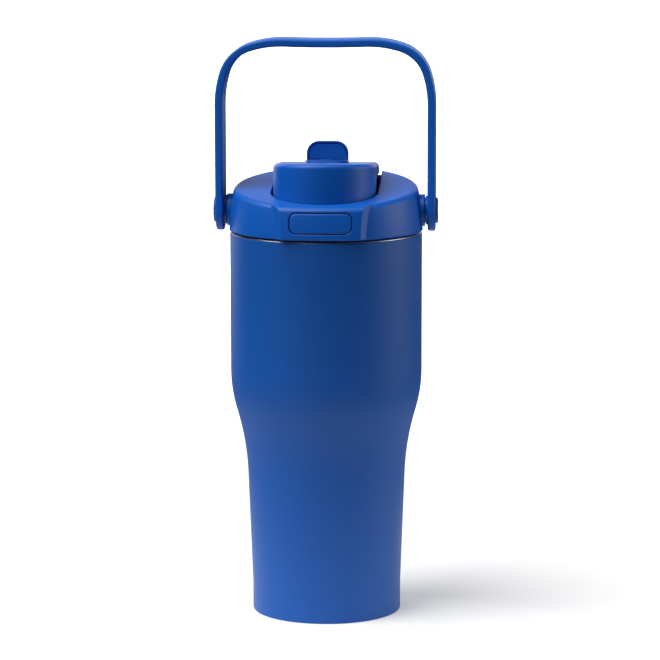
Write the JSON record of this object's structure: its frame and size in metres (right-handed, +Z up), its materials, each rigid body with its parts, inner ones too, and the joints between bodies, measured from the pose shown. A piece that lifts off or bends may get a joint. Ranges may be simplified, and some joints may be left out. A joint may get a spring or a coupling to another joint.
{
  "type": "insulated tumbler",
  "caption": "Insulated steel tumbler with a narrow cup-holder foot, push-button flip lid, small sip flap and a swinging bail handle.",
  "frame": {"origin": "centre of the base, on the surface that the tumbler stands on", "axes": "+Z up along the body's axis, -Y towards the push button, +X along the handle's pivot to the right seen from the button side"},
  "size_m": [0.1154, 0.0999, 0.2978],
  "materials": {
    "powder_coat": "fine matte powder coat",
    "brushed_steel": "satin brushed",
    "lid_plastic": "satin moulded polypropylene",
    "plug_plastic": "satin moulded polypropylene",
    "handle_plastic": "soft-touch moulded",
    "silicone": "matte silicone",
    "straw_plastic": "translucent tube",
    "pin_steel": "polished pin",
    "spring_steel": "drawn wire",
    "bush_plastic": "acetal"
  },
  "bodies": {
    "bottle": {"outer_shell": "powder_coat", "inner_liner": "brushed_steel", "base_plate": "brushed_steel", "vacuum_seal": "brushed_steel"},
    "lid": {"lid_collar": "lid_plastic", "lid_core": "plug_plastic", "lid_gasket": "silicone", "drink_spout": "plug_plastic", "spout_gasket": "silicone", "straw": "straw_plastic", "straw_grommet": "silicone", "hinge_pin": "pin_steel", "cap_spring": "spring_steel", "latch_springs": "spring_steel", "pivot_pins": "bush_plastic", "friction_washers": "bush_plastic"},
    "cap": {"cap_cover": "lid_plastic", "cap_frame": "plug_plastic", "spout_seal": "silicone", "port_grommet": "silicone", "flap_pin": "pin_steel"},
    "flap": {"sip_flap": "lid_plastic", "flap_seal": "silicone"},
    "button": {"latch_button": "lid_plastic"},
    "handle": {"bail_handle": "handle_plastic", "pivot_bushes": "bush_plastic"}
  },
  "joints": [
    {"name": "lid_lift", "type": "slide", "parent": "bottle", "child": "lid", "axis": [0, 0, 1], "range_m": [0, 0.21]},
    {"name": "cap_hinge", "type": "hinge", "parent": "lid", "child": "cap", "pos_m": [0, 0.026, 0.2215], "axis": [-1, 0, 0], "range_deg": [0, 115], "deforming": ["cap_spring"]},
    {"name": "button_push", "type": "slide", "parent": "lid", "child": "button", "axis": [0, 1, 0], "range_m": [0, 0.002], "stiffness_N_per_m": 600, "springref_m": -0.002, "deforming": ["latch_springs"]},
    {"name": "flap_hinge", "type": "hinge", "parent": "cap", "child": "flap", "pos_m": [0, 0.01202, 0.23306], "axis": [1, 0, 0], "range_deg": [0, 90]},
    {"name": "handle_swing", "type": "hinge", "parent": "lid", "child": "handle", "pos_m": [0, 0, 0.2095], "axis": [1, 0, 0], "range_deg": [-135, 135]}
  ]
}
